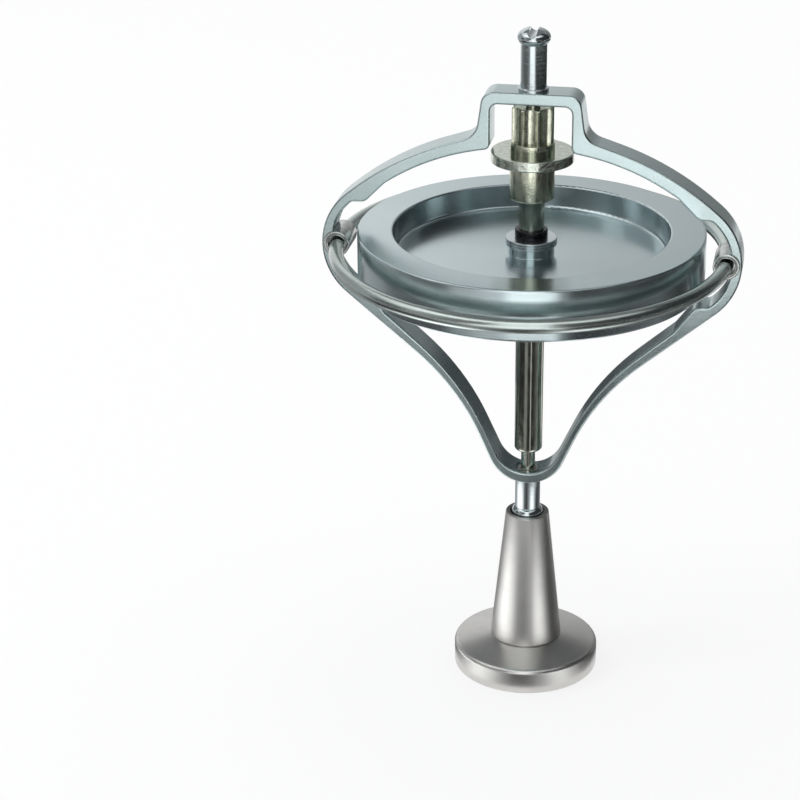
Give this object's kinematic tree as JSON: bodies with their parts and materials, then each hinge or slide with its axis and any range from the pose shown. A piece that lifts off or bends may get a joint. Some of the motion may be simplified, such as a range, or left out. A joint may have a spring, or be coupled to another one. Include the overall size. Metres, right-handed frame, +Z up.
{
  "type": "gyroscope on stand",
  "caption": "Metal gyroscope in the cup of a small turned stand: an arched frame and wire guard ring hold a heavy flywheel spinning on an upright axle with a toothed pinion.",
  "frame": {"origin": "centre of the underside of the stand's base, on the common axis of stand, frame and flywheel", "axes": "+Z up along the axis of stand and flywheel, +X along the plane of the arched frame, +Y to the back"},
  "size_m": [0.0666, 0.064, 0.1099],
  "materials": {
    "stand_metal": "satin",
    "frame_metal": "satin",
    "post_steel": "polished",
    "bearing_bronze": "smooth",
    "ring_wire": "polished",
    "sleeve_steel": "satin",
    "nickel": "nickel plated",
    "rotor_steel": "fine turned",
    "washer_steel": "turned",
    "black_steel": "blackened"
  },
  "bodies": {
    "stand": {"stand_base": "stand_metal", "stand_column": "stand_metal"},
    "gyroscope": {"frame": "frame_metal", "top_post": "post_steel", "bottom_post": "post_steel", "top_bush": "bearing_bronze", "bottom_bush": "bearing_bronze", "guard_ring": "ring_wire", "ring_sleeve_left": "sleeve_steel", "ring_sleeve_right": "sleeve_steel"},
    "flywheel": {"axle": "nickel", "rotor": "rotor_steel", "hub_washer": "washer_steel", "retaining_ring": "black_steel", "drive_pinion": "nickel", "guide_flange": "nickel"}
  },
  "joints": [
    {"name": "precession", "type": "hinge", "parent": "stand", "child": "gyroscope", "pos_m": [0, 0, 0.0281], "axis": [0, 0, 1], "continuous": true},
    {"name": "rotor_spin", "type": "hinge", "parent": "gyroscope", "child": "flywheel", "pos_m": [0, 0, 0.07344], "axis": [0, 0, 1], "continuous": true}
  ]
}
